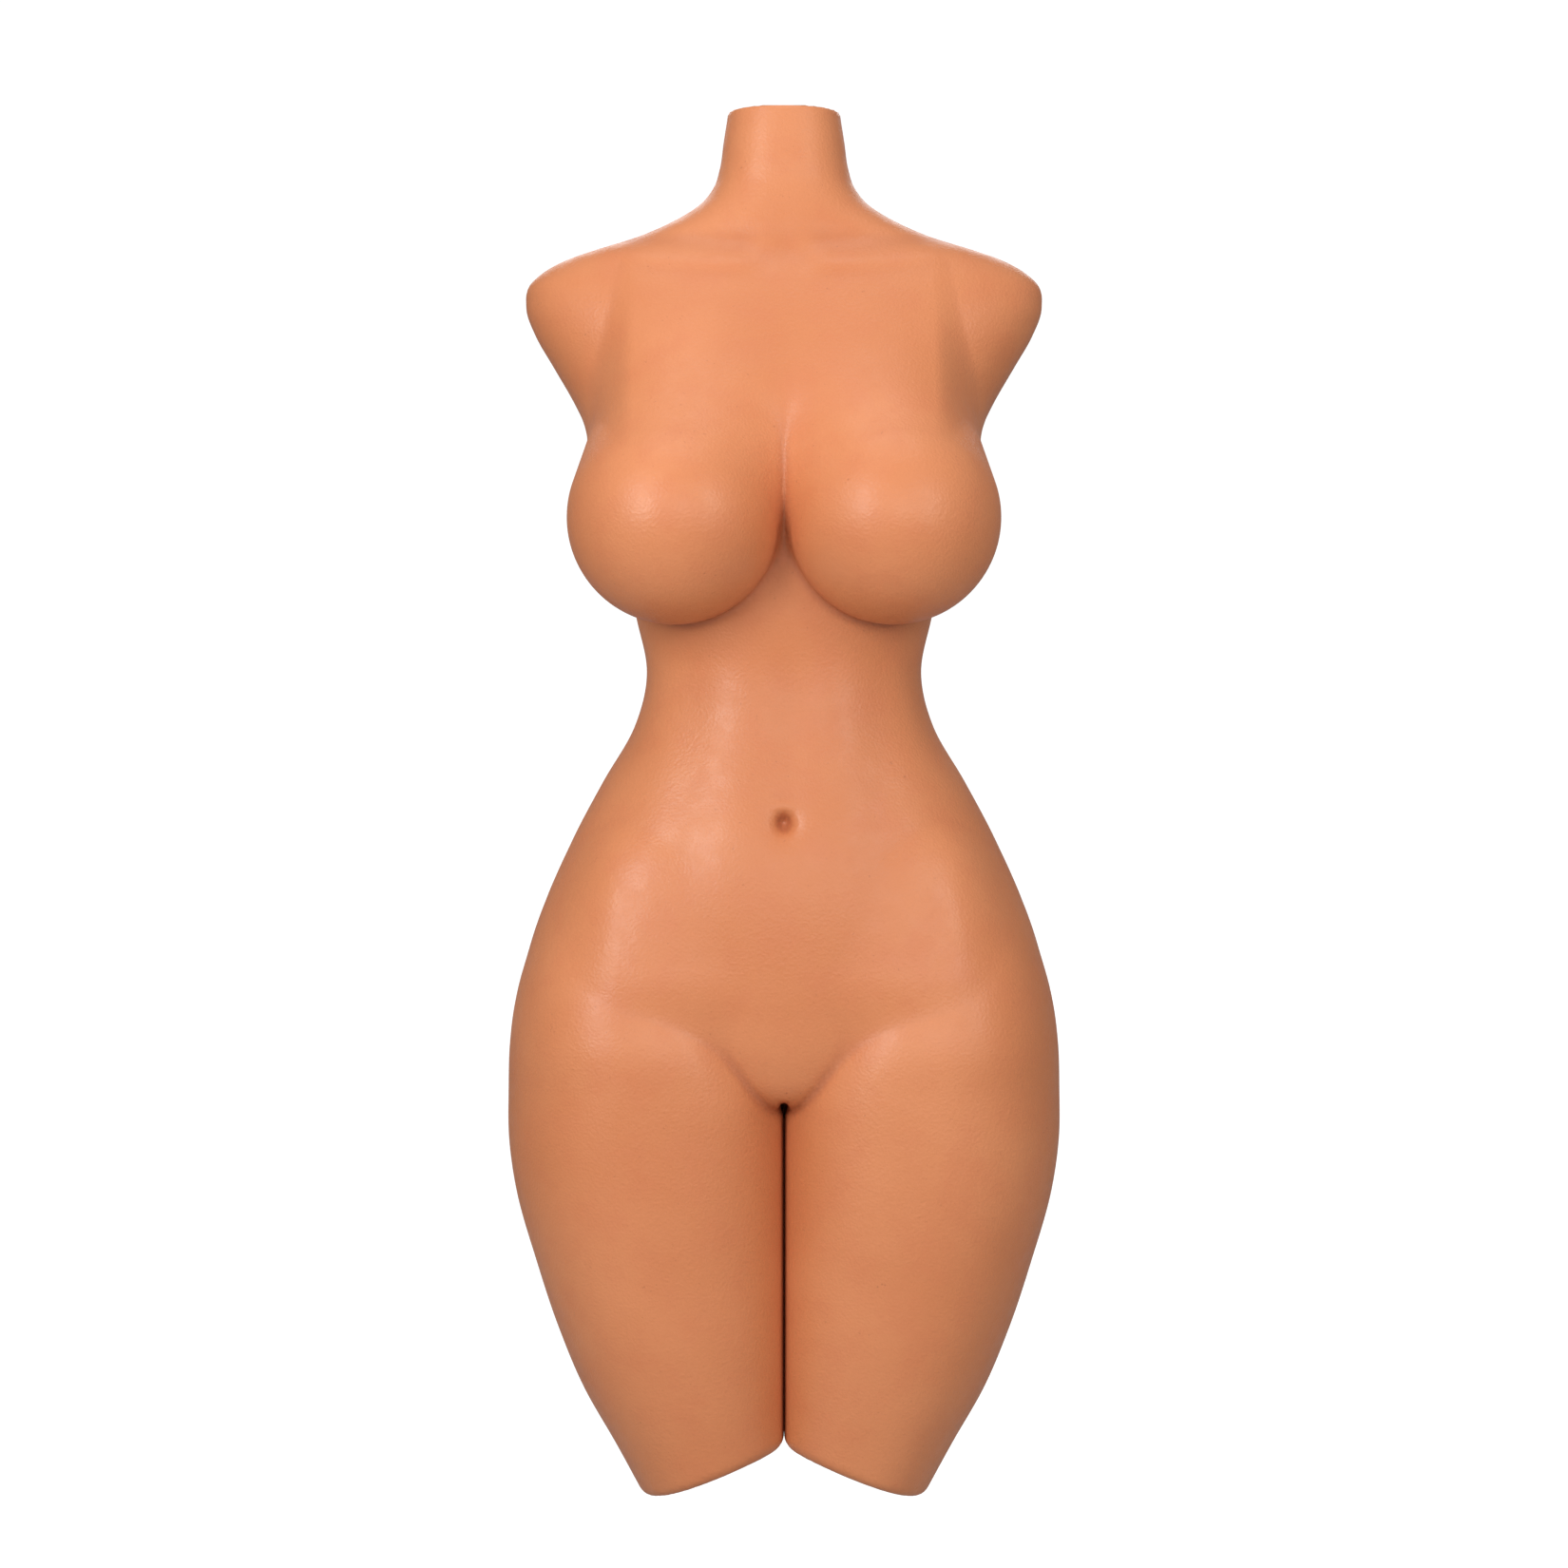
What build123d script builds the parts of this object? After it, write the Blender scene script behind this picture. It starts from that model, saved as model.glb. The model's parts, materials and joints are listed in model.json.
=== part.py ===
"""Soft-skinned torso mannequin: headless, armless, thigh-length, with a posable steel skeleton.

Millimetres. +Z is up, -Y is the front, +X is the mannequin's own left side.
The origin is the centre of the neck's flat top face, where the threaded hanging socket opens.
"""

import math
import os

from build123d import *

# ---------------------------------------------------------------- driving dimensions
SKIN = 12.0  # wall of the elastomer skin
GAP = 0.4  # clearance between parts that turn past each other
RUN = 0.05  # radial clearance of a pin in its bore

# Body outline. Each station is (height, half width, depth to the front, depth to the back).
NECK_TO_WAIST = [
    (0, 36.5, 38, 38),
    (-16, 39.5, 40, 41),
    (-32, 41.5, 42, 44),
    (-46, 44, 43, 48),
    (-60, 53, 45, 54),
    (-76, 80, 48, 60),
    (-94, 130, 52, 68),
    (-112, 162, 60, 74),
    (-132, 167, 68, 79),
    (-160, 154, 77, 84),
    (-190, 135, 84, 87),
    (-230, 121, 88, 87),
    (-280, 110, 84, 82),
    (-330, 97, 76, 74),
    (-372, 90, 70, 68),
    (-400, 97, 74, 69),
    (-440, 120, 81, 80),
]
WAIST_TO_CROTCH = [
    (-320, 99, 77, 75),
    (-345, 93, 73, 71),
    (-372, 90, 70, 68),
    (-400, 97, 74, 69),
    (-440, 120, 81, 80),
    (-480, 141, 89, 102),
    (-525, 161, 96, 124),
    (-571, 174, 100, 139),
    (-620, 179, 101, 144),
    (-660, 178.5, 99, 134),
    (-700, 174, 97, 112),
]
THIGH = [
    (-460, 133, 84, 90),
    (-500, 151, 92, 110),
    (-540, 166, 97, 122),
    (-580, 175, 100, 126),
    (-625, 179, 101, 124),
    (-670, 178, 99, 114),
    (-720, 169, 96, 101),
    (-774, 152, 90, 92),
    (-828, 130.5, 80, 83),
    (-870, 106, 71, 74),
    (-905, 86, 64, 66),
]
TORSO_ROUND, THIGH_ROUND = 2.35, 2.5  # superellipse exponents: 2 is an ellipse
SECTION_POINTS = 20
THIGH_GAP = 2.0  # half the gap between the closed thighs
NECK_BASE_Z = -50.0  # where the neck's skin meets the chest's

# The bust: a ball on each side, with a tangent cone that runs up and back into the chest
BUST_CENTRE = (69, -82, -270)
BUST_R, BUST_CONE = 66.0, 155.0
BUST_LEAN, BUST_SPREAD = 16.0, 6.0  # degrees that the cone leans back, and in towards the middle

END_TILT = 22.0  # slope of each thigh's cut face
END_MID_Z = -861.5  # where that slope crosses the middle plane

# Waist joint: a hinge across the body
WAIST_Z = -372.0
WAIST_R = 64.0
WAIST_FRONT_OPEN, WAIST_BACK_OPEN = (14.0, -13.0), (7.5, -7.5)  # degrees above the horizontal
TONGUE_SWING = (-7.0, 6.0)  # edges of the slot that the tongue swings in, likewise

# Hip joints: one shaft across the body
HIP_Z = -571.0
HIP_R = 95.0
WEB_HALF = 26.0  # half the width of the middle web that holds the shaft
PELVIS_FRONT, PELVIS_BACK = 23.0, -28.0
THIGH_FRONT, THIGH_BACK = -24.0, -40.0

# Skeleton
THREAD_R, THREAD_DEPTH = 7.0, 32.0
SOCKET_R, SOCKET_LENGTH = 13.0, 44.0
FLANGE_R, FLANGE_T = 20.0, 4.0
TUBE_R, TUBE_WALL = 14.0, 3.5
HUB_Z, HUB, HUB_ROUND = -150.0, (44.0, 40.0, 44.0), 5.0
CLAMP_X, CLAMP_R, CLAMP_SEAT = 14.0, 4.0, 8.0
CLAMP_HEAD_R, CLAMP_HEAD, CLAMP_KEY_R, CLAMP_KEY = 6.5, 6.0, 3.0, 3.0
BAR_R, BAR_WALL, BAR_HALF = 10.0, 3.0, 122.0
SHOULDER_PLATE_R, SHOULDER_PLATE_T, SHOULDER_PLATE_ROUND = 22.0, 6.0, 2.0
EYE_R, PIN_R = 18.0, 8.0
TONGUE_HALF, FORK_IN, FORK_OUT = 10.0, 11.5, 19.5
TONGUE_TOP, SPINE_END = WAIST_Z + 68.0, WAIST_Z + 76.0
FORK_END, FORK_BASE_END = WAIST_Z - 44.0, WAIST_Z - 52.0
WASHER_R, WASHER_FACE_GAP = 16.0, 0.1
PIN_HEAD, PIN_HEAD_FLATS, PIN_TAIL, PIN_NUT = 7.0, 24.0, 11.0, 9.0
SHAFT_R, SHAFT_HALF, SHAFT_CHAMFER = 12.0, 128.0, 1.5
HIP_BLOCK, HIP_BLOCK_ROUND = (44.0, 50.0, 70.0), 9.0
SLEEVE_R, SLEEVE_IN, SLEEVE_OUT = 22.0, 27.0, 104.0
THRUST_R, HIP_FACE_GAP = 25.0, 0.3
DISC_T, HIP_NUT, HIP_NUT_FLATS = 3.0, 14.0, 36.0
SHAFT_END_ROOM = 2.0
FEMUR_TOP, FEMUR_END = (84.0, HIP_Z), (58.0, -826.0)  # across and up, at the ends of its middle line
FEMUR_LENGTH = math.dist(FEMUR_TOP, FEMUR_END)
FEMUR_R, FEMUR_WALL = 13.0, 3.0
END_PLATE = (46.0, 72.0, 5.0)
BOSS_PLUG, BOSS_REACH = 25.0, 70.0
FAR = 600.0  # reach of the cutting shapes


# ---------------------------------------------------------------- helpers
def section(z, centre_x, half, front, back, power):
    """A closed superellipse face at height z, deeper at the front or the back as given."""
    points = []
    for i in range(SECTION_POINTS):
        a = 2 * math.pi * i / SECTION_POINTS
        c, s = math.cos(a), math.sin(a)
        depth = back if s > 0 else front
        points.append((
            centre_x + half * math.copysign(abs(c) ** (2 / power), c),
            depth * math.copysign(abs(s) ** (2 / power), s),
            z,
        ))
    return make_face(Spline(*points, periodic=True))


def torso_form(stations, inset=0.0):
    """The smooth body through the stations, pulled in by inset."""
    return loft([
        section(z, 0, half - inset, front - inset, back - inset, TORSO_ROUND)
        for z, half, front, back in stations
    ])


def thigh_form(inset=0.0):
    """The left thigh, with its flat inner side at the gap between the thighs."""
    faces = []
    for z, outer, front, back in THIGH:
        half = (outer - THIGH_GAP) / 2
        faces.append(
            section(z, THIGH_GAP + half, half - inset, front - inset, back - inset, THIGH_ROUND)
        )
    return loft(faces)


def across(radius, z, x0=-FAR, x1=FAR):
    """A round bar along X at height z, from x0 to x1."""
    return Pos((x0 + x1) / 2, 0, z) * Rot(0, 90, 0) * Cylinder(radius, x1 - x0)


def upright(radius, z_top, z_low, wall=None):
    """A round bar along Z, or a tube where wall is given."""
    height, mid = z_top - z_low, (z_top + z_low) / 2
    made = Cylinder(radius, height)
    if wall:
        made -= Cylinder(radius - wall, height)
    return Pos(0, 0, mid) * made


def along_femur(radius, from_end, past_end, wall=None):
    """A round bar on the left femur's line, from_end above its lower end to past_end below it."""
    (top_x, top_z), (end_x, end_z) = FEMUR_TOP, FEMUR_END
    lean = math.degrees(math.atan2(top_x - end_x, top_z - end_z))
    bar = upright(radius, from_end, -past_end, wall=wall)
    return Pos(end_x, 0, end_z) * Rot(0, lean, 0) * bar


def block(x0, x1, y0, y1, z0, z1):
    return Pos((x0 + x1) / 2, (y0 + y1) / 2, (z0 + z1) / 2) * Box(x1 - x0, y1 - y0, z1 - z0)


def sector(z, degrees_front, degrees_back, over=True, x0=-FAR, x1=FAR):
    """The space beyond two half planes that meet on the X axis at height z.

    Angles are above the horizontal, at the front and at the back. over picks the space
    over the top of the axis, and not over picks the space under it.
    """
    front, back = math.radians(degrees_front), math.radians(degrees_back)
    up = FAR if over else -FAR
    outline = Polyline(
        (0, 0),
        (-FAR * math.cos(front), FAR * math.sin(front)),
        (-FAR * math.cos(front), up * 2),
        (FAR * math.cos(back), up * 2),
        (FAR * math.cos(back), FAR * math.sin(back)),
        close=True,
    )
    plane = Plane(origin=(x0, 0, z), x_dir=(0, 1, 0), z_dir=(1, 0, 0))
    return extrude(plane * make_face(outline), x1 - x0)


def mirrored(shape):
    return mirror(shape, Plane.YZ)


def end_plane(inset=0.0):
    """The left thigh's cut plane, facing out of the thigh, moved in by inset."""
    tilt = math.radians(END_TILT)
    normal = Vector(-math.sin(tilt), 0, -math.cos(tilt))
    origin = Vector(0, 0, END_MID_Z) - normal * inset
    return Plane(origin=origin, x_dir=(math.cos(tilt), 0, -math.sin(tilt)), z_dir=normal)


def beyond_end(inset=0.0):
    """Everything past the left thigh's cut plane."""
    return extrude(end_plane(inset) * Rectangle(FAR * 2, FAR * 2), FAR)


def bust_form(inset=0.0):
    """The left side of the bust, pulled in by inset."""
    ball = BUST_R - inset
    tip = BUST_CONE * ball / BUST_R
    touch_y = ball**2 / tip
    touch_x = math.sqrt(ball**2 - touch_y**2)
    swing = (math.atan2(touch_y, touch_x) - math.pi / 2) / 2
    outline = Polyline((touch_x, touch_y), (0, tip), (0, -ball))
    halfway = (ball * math.cos(swing), ball * math.sin(swing))
    belly = ThreePointArc((0, -ball), halfway, (touch_x, touch_y))
    solid = revolve(Plane.XZ * make_face(outline + belly), Axis.Z)
    return Pos(*BUST_CENTRE) * Rot(-BUST_LEAN, -BUST_SPREAD, 0) * solid


def hexagon_prism(across_flats, x0, x1, z, hole):
    """A hexagonal nut or head on the X axis at height z."""
    plane = Plane(origin=(x0, 0, z), x_dir=(0, 1, 0), z_dir=(1, 0, 0))
    flat = RegularPolygon(across_flats / 2, 6, major_radius=False)
    if hole:
        flat -= Circle(hole)
    return extrude(plane * flat, x1 - x0)


def eye_with_stem(x0, x1, z, stem_z, hole):
    """A lug: a round eye on the X axis with a stem of the same width to stem_z."""
    made = across(EYE_R, z, x0, x1) + block(x0, x1, -EYE_R, EYE_R, min(z, stem_z), max(z, stem_z))
    return made - across(hole, z)


# ---------------------------------------------------------------- skeleton
def neck_socket():
    made = upright(FLANGE_R, 0, -FLANGE_T) + upright(SOCKET_R, -FLANGE_T, -SOCKET_LENGTH)
    return made - upright(THREAD_R, 0, -THREAD_DEPTH)


def hub_envelope():
    """The shoulder hub's outside, without its holes."""
    x, y, z = HUB
    made = block(-x / 2, x / 2, -y / 2, y / 2, HUB_Z - z / 2, HUB_Z + z / 2)
    return fillet(made.edges().filter_by(Axis.Z), HUB_ROUND)


def shoulder_hub():
    y = HUB[1]
    made = hub_envelope() - across(BAR_R, HUB_Z)
    for side in (-1, 1):
        made -= Pos(side * CLAMP_X, -y / 2, HUB_Z) * Rot(90, 0, 0) * Cylinder(CLAMP_R, 2 * CLAMP_SEAT)
    return made


def crossbar_clamp_screws():
    """Two cap screws that clamp the shoulder bar in its hub."""
    made = []
    for side in (-1, 1):
        face = -HUB[1] / 2
        at = Pos(side * CLAMP_X, 0, HUB_Z) * Rot(90, 0, 0)
        shank = at * Pos(0, 0, -face - CLAMP_SEAT / 2) * Cylinder(CLAMP_R, CLAMP_SEAT)
        head = at * Pos(0, 0, -face + CLAMP_HEAD / 2) * Cylinder(CLAMP_HEAD_R, CLAMP_HEAD)
        drive = at * Pos(0, 0, -face + CLAMP_HEAD) * extrude(RegularPolygon(CLAMP_KEY_R, 6), -CLAMP_KEY)
        made.append(shank + head - drive)
    return made


def shoulder_bar():
    return across(BAR_R, HUB_Z, -BAR_HALF, BAR_HALF) - across(BAR_R - BAR_WALL, HUB_Z)


def left_shoulder_plate():
    plate = across(SHOULDER_PLATE_R, HUB_Z, BAR_HALF, BAR_HALF + SHOULDER_PLATE_T)
    return fillet(plate.edges(), SHOULDER_PLATE_ROUND)


def waist_tongue():
    tongue = eye_with_stem(-TONGUE_HALF, TONGUE_HALF, WAIST_Z, TONGUE_TOP, PIN_R + RUN)
    return tongue + upright(EYE_R, SPINE_END, TONGUE_TOP)


def waist_fork():
    left = eye_with_stem(FORK_IN, FORK_OUT, WAIST_Z, FORK_END, PIN_R)
    base = block(-FORK_OUT, FORK_OUT, -EYE_R, EYE_R, FORK_BASE_END, FORK_END)
    return left + mirrored(left) + base


def waist_friction_washers():
    inner, outer = TONGUE_HALF + WASHER_FACE_GAP, FORK_IN - WASHER_FACE_GAP
    left = across(WASHER_R, WAIST_Z, inner, outer) - across(PIN_R + RUN, WAIST_Z)
    return [left, mirrored(left)]


def waist_pin():
    head = hexagon_prism(PIN_HEAD_FLATS, -FORK_OUT - PIN_HEAD, -FORK_OUT, WAIST_Z, None)
    return across(PIN_R, WAIST_Z, -FORK_OUT, FORK_OUT + PIN_TAIL) + head


def waist_lock_nut():
    return hexagon_prism(PIN_HEAD_FLATS, FORK_OUT, FORK_OUT + PIN_NUT, WAIST_Z, PIN_R)


def hip_block_envelope():
    """The hip block's outside, without its bore."""
    x, y, z = HIP_BLOCK
    made = block(-x / 2, x / 2, -y / 2, y / 2, HIP_Z - z / 2, HIP_Z + z / 2)
    return fillet(made.edges().filter_by(Axis.X), HIP_BLOCK_ROUND)


def hip_block():
    return hip_block_envelope() - across(SHAFT_R, HIP_Z)


def hip_shaft():
    return chamfer(across(SHAFT_R, HIP_Z, -SHAFT_HALF, SHAFT_HALF).edges(), SHAFT_CHAMFER)


def left_hip_thrust_washer():
    inner, outer = HIP_BLOCK[0] / 2 + HIP_FACE_GAP, SLEEVE_IN - HIP_FACE_GAP
    return across(THRUST_R, HIP_Z, inner, outer) - across(SHAFT_R + RUN, HIP_Z)


def left_hip_sleeve():
    made = across(SLEEVE_R, HIP_Z, SLEEVE_IN, SLEEVE_OUT)
    return made - across(SHAFT_R + RUN, HIP_Z)


def left_hip_friction_disc():
    inner = SLEEVE_OUT + HIP_FACE_GAP
    return across(SLEEVE_R, HIP_Z, inner, inner + DISC_T) - across(SHAFT_R, HIP_Z)


def left_hip_lock_nut():
    inner = SLEEVE_OUT + HIP_FACE_GAP + DISC_T
    return hexagon_prism(HIP_NUT_FLATS, inner, inner + HIP_NUT, HIP_Z, SHAFT_R)


def left_femur_tube():
    tube = along_femur(FEMUR_R, FEMUR_LENGTH, 0, FEMUR_WALL)
    return tube - across(SLEEVE_R, HIP_Z)


def left_thigh_end_plate():
    """An oval plate behind the thigh's cut face, on a boss that plugs the tube."""
    wide, deep, thick = END_PLATE
    face = end_plane(SKIN + thick)
    slope = math.cos(math.radians(END_TILT))
    outline = face * Pos(FEMUR_END[0] / slope, 0) * Ellipse(wide / 2, deep / 2)
    plate = extrude(outline, thick)
    boss = along_femur(FEMUR_R - FEMUR_WALL, BOSS_PLUG, BOSS_REACH)
    boss += along_femur(FEMUR_R, 0, BOSS_REACH)
    boss -= beyond_end(SKIN + thick)
    return plate + boss


# ---------------------------------------------------------------- soft parts
def soft_upper(inset):
    """The chest, from the neck's flat top to the hollow that turns over the waist."""
    form = torso_form(NECK_TO_WAIST, inset)
    bust = bust_form(inset)
    form = form + bust + mirrored(bust)
    if inset:
        form -= block(-FAR, FAR, -FAR, FAR, -SKIN, FAR)
    form &= sector(WAIST_Z, WAIST_FRONT_OPEN[0], WAIST_BACK_OPEN[0])
    return form - across(WAIST_R + GAP, WAIST_Z)


def soft_pelvis(inset):
    """The belly, hips and seat, with the round top of the waist and the middle web."""
    form = torso_form(WAIST_TO_CROTCH, inset)
    below = sector(WAIST_Z, WAIST_FRONT_OPEN[1], WAIST_BACK_OPEN[1], over=False)
    form &= below + across(WAIST_R, WAIST_Z)
    outer = sector(HIP_Z, PELVIS_FRONT, PELVIS_BACK)
    hips = across(HIP_R + GAP, HIP_Z, WEB_HALF) + across(HIP_R + GAP, HIP_Z, -FAR, -WEB_HALF)
    web = across(HIP_R, HIP_Z, -WEB_HALF, WEB_HALF)
    return form & ((outer - hips) + web)


def soft_thigh(inset):
    """The left thigh, with a round top that turns in the hip."""
    form = thigh_form(inset)
    below = sector(HIP_Z, THIGH_FRONT, THIGH_BACK, over=False)
    form &= below + across(HIP_R, HIP_Z)
    form -= across(HIP_R + GAP, HIP_Z, -FAR, WEB_HALF + GAP)
    return form - beyond_end(inset)


def waist_slot():
    """Room in the waist for the tongue to swing each way between the fork's ears."""
    swing = sector(WAIST_Z, *TONGUE_SWING, x0=-FORK_IN, x1=FORK_IN)
    return swing + across(EYE_R + 1, WAIST_Z, -FORK_IN, FORK_IN)


# ---------------------------------------------------------------- build
def build_steel():
    steel = {
        "neck_socket": neck_socket(),
        "neck_post": upright(TUBE_R, -SOCKET_LENGTH, HUB_Z + HUB[2] / 2, wall=TUBE_WALL),
        "shoulder_hub": shoulder_hub(),
        "shoulder_bar": shoulder_bar(),
        "crossbar_clamp_screws": crossbar_clamp_screws(),
        "left_shoulder_plate": left_shoulder_plate(),
        "upper_spine_tube": upright(TUBE_R, HUB_Z - HUB[2] / 2, SPINE_END, wall=TUBE_WALL),
        "waist_tongue": waist_tongue(),
        "waist_fork": waist_fork(),
        "waist_friction_washers": waist_friction_washers(),
        "waist_pin": waist_pin(),
        "waist_lock_nut": waist_lock_nut(),
        "lower_spine_tube": upright(
            TUBE_R, FORK_BASE_END, HIP_Z + HIP_BLOCK[2] / 2, wall=TUBE_WALL
        ),
        "hip_block": hip_block(),
        "hip_shaft": hip_shaft(),
        "left_hip_thrust_washer": left_hip_thrust_washer(),
        "left_hip_sleeve": left_hip_sleeve(),
        "left_hip_friction_disc": left_hip_friction_disc(),
        "left_hip_lock_nut": left_hip_lock_nut(),
        "left_femur_tube": left_femur_tube(),
        "left_thigh_end_plate": left_thigh_end_plate(),
    }
    for name in [n for n in steel if n.startswith("left_")]:
        steel[name.replace("left_", "right_")] = mirrored(steel[name])
    return steel


def less(shape, *cutters):
    """shape with each cutter taken out of it, one at a time."""
    for cutter in cutters:
        for solid in cutter if isinstance(cutter, list) else [cutter]:
            shape = shape - solid
    return shape


def build_soft(steel):
    """The skin and foam of each body, fitted round its own steel and clear of its neighbours'."""
    upper = soft_upper(0.0), soft_upper(SKIN)
    pelvis = soft_pelvis(0.0), soft_pelvis(SKIN)
    thigh = soft_thigh(0.0), soft_thigh(SKIN)

    def pick(*names):
        return [steel[n] for n in names]

    shaft_room = across(SLEEVE_R + GAP, HIP_Z, SLEEVE_OUT, SHAFT_HALF + SHAFT_END_ROOM)
    washer_room = across(THRUST_R + GAP, HIP_Z, 0, SLEEVE_IN)
    torso_skin = less(
        upper[0],
        upper[1],
        upright(FLANGE_R, 0, -FLANGE_T),
        upright(SOCKET_R, 0, -SOCKET_LENGTH),
    )
    neck_space = block(-FAR, FAR, -FAR, FAR, NECK_BASE_Z, FAR)
    soft = {
        "neck_skin": torso_skin & neck_space,
        "upper_torso_skin": torso_skin - neck_space,
        "upper_torso_foam": less(
            upper[1],
            upright(SOCKET_R, 0, -SOCKET_LENGTH),
            upright(TUBE_R, -SOCKET_LENGTH, HUB_Z),
            upright(TUBE_R, HUB_Z, SPINE_END),
            upright(EYE_R, SPINE_END, TONGUE_TOP),
            block(-TONGUE_HALF, TONGUE_HALF, -EYE_R, EYE_R, WAIST_Z, TONGUE_TOP),
            across(BAR_R, HUB_Z, -BAR_HALF, BAR_HALF),
            hub_envelope(),
            *pick("crossbar_clamp_screws", "left_shoulder_plate", "right_shoulder_plate"),
        ),
        "pelvis_skin": less(pelvis[0], pelvis[1]),
        "pelvis_foam": less(
            pelvis[1],
            waist_slot(),
            upright(TUBE_R, FORK_END, HIP_Z),
            hip_block_envelope(),
            across(THRUST_R, HIP_Z, -WEB_HALF, WEB_HALF),
            *pick("waist_fork", "waist_pin", "waist_lock_nut"),
        ),
        "left_thigh_skin": less(thigh[0], thigh[1], washer_room),
        "left_thigh_foam": less(
            thigh[1],
            shaft_room,
            washer_room,
            across(SLEEVE_R, HIP_Z, SLEEVE_IN, SLEEVE_OUT),
            along_femur(FEMUR_R, FEMUR_LENGTH, 0),
            steel["left_thigh_end_plate"],
        ),
    }
    for name, shape in soft.items():
        soft[name] = max(shape.solids(), key=lambda solid: solid.volume)
    for part in ("skin", "foam"):
        soft[f"right_thigh_{part}"] = mirrored(soft[f"left_thigh_{part}"])
    return soft


def main():
    os.makedirs("parts", exist_ok=True)
    steel = build_steel()
    for name, shape in {**steel, **build_soft(steel)}.items():
        if isinstance(shape, list):
            shape = Compound(children=shape)
        export_step(shape, f"parts/{name}.step")


if __name__ == "__main__":
    main()
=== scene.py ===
import json
import math

import bmesh
import bpy
import numpy as np
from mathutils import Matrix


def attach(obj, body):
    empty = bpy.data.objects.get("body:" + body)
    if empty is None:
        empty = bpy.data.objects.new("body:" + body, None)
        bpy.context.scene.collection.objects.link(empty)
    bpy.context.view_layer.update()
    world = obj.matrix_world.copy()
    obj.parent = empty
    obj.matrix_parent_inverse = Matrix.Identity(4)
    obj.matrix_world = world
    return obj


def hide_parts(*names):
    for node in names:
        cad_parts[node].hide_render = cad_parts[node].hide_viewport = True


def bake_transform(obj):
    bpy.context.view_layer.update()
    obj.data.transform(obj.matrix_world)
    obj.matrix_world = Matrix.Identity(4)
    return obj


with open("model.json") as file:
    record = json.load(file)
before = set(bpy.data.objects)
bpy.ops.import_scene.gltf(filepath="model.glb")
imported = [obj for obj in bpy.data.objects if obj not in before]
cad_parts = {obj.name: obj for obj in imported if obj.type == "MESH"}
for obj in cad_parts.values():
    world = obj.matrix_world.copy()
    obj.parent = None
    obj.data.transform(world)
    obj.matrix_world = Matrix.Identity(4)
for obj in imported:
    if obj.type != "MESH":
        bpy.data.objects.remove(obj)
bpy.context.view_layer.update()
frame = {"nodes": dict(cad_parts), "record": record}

import openvdb
from mathutils import Vector

# ---------------------------------------------------------------- body outline
# Height, half width, depth to the front, depth to the back
TORSO = [
    (0.030, 0.034, 0.036, 0.036),
    (0.000, 0.0365, 0.038, 0.038),
    (-0.020, 0.0395, 0.040, 0.041),
    (-0.037, 0.0420, 0.042, 0.045),
    (-0.050, 0.0465, 0.043, 0.049),
    (-0.062, 0.0570, 0.045, 0.053),
    (-0.074, 0.0780, 0.047, 0.058),
    (-0.086, 0.1100, 0.049, 0.063),
    (-0.097, 0.1430, 0.053, 0.068),
    (-0.110, 0.1635, 0.059, 0.073),
    (-0.127, 0.1680, 0.066, 0.078),
    (-0.145, 0.1620, 0.072, 0.082),
    (-0.165, 0.1505, 0.077, 0.085),
    (-0.190, 0.1360, 0.083, 0.087),
    (-0.215, 0.1245, 0.086, 0.088),
    (-0.250, 0.1160, 0.086, 0.086),
    (-0.290, 0.1060, 0.082, 0.081),
    (-0.330, 0.0960, 0.075, 0.073),
    (-0.365, 0.0895, 0.070, 0.067),
    (-0.400, 0.0975, 0.072, 0.068),
    (-0.435, 0.1175, 0.079, 0.078),
    (-0.475, 0.1385, 0.0885, 0.094),
    (-0.510, 0.1530, 0.093, 0.100),
    (-0.545, 0.1580, 0.0935, 0.099),
    (-0.580, 0.1450, 0.0915, 0.084),
    (-0.612, 0.0850, 0.086, 0.046),
    (-0.640, 0.0360, 0.074, 0.022),
    (-0.680, 0.0150, 0.050, 0.014),
]
# Height, inner side, outer side, depth to the front, depth to the back. The inner side runs past
# the middle where the two thighs press together, and THIGH_GAP cuts it flat.
THIGH = [
    (-0.430, 0.080, 0.090, 0.015, 0.020),
    (-0.455, 0.072, 0.108, 0.046, 0.050),
    (-0.490, 0.058, 0.1330, 0.064, 0.074),
    (-0.525, 0.046, 0.1555, 0.078, 0.096),
    (-0.555, 0.034, 0.1690, 0.088, 0.108),
    (-0.580, 0.022, 0.1752, 0.095, 0.114),
    (-0.605, 0.010, 0.1783, 0.100, 0.116),
    (-0.635, -0.001, 0.1792, 0.100, 0.114),
    (-0.665, -0.004, 0.1790, 0.099, 0.110),
    (-0.700, -0.005, 0.1742, 0.097, 0.103),
    (-0.745, -0.005, 0.1615, 0.093, 0.095),
    (-0.790, -0.005, 0.1465, 0.088, 0.088),
    (-0.828, -0.005, 0.1305, 0.081, 0.083),
    (-0.864, -0.005, 0.1100, 0.073, 0.076),
    (-0.910, -0.005, 0.0850, 0.064, 0.066),
]
TORSO_ROUND = 2.35
THIGH_ROUND_IN, THIGH_ROUND_OUT = 2.4, 2.2
THIGH_GAP = 0.002
CROTCH_Z, CROTCH_BACK_Z = -0.640, -0.668

BUST_CENTRE = (0.0695, -0.080, -0.2690)
BUST_R = 0.0675
BUST_TOP, BUST_TOP_R = (0.062, -0.010, -0.190), 0.054

SEAT_CENTRE = (0.074, 0.047, -0.572)
SEAT_RADII = (0.080, 0.096, 0.098)

THIGH_TOP_Z = -0.440
END_TILT = math.radians(22)
END_MID_Z = -0.8615

NECK_TOP_Z = -0.0005  # just under the steel flange's face
SOCKET_HOLE_R = 0.013

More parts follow.
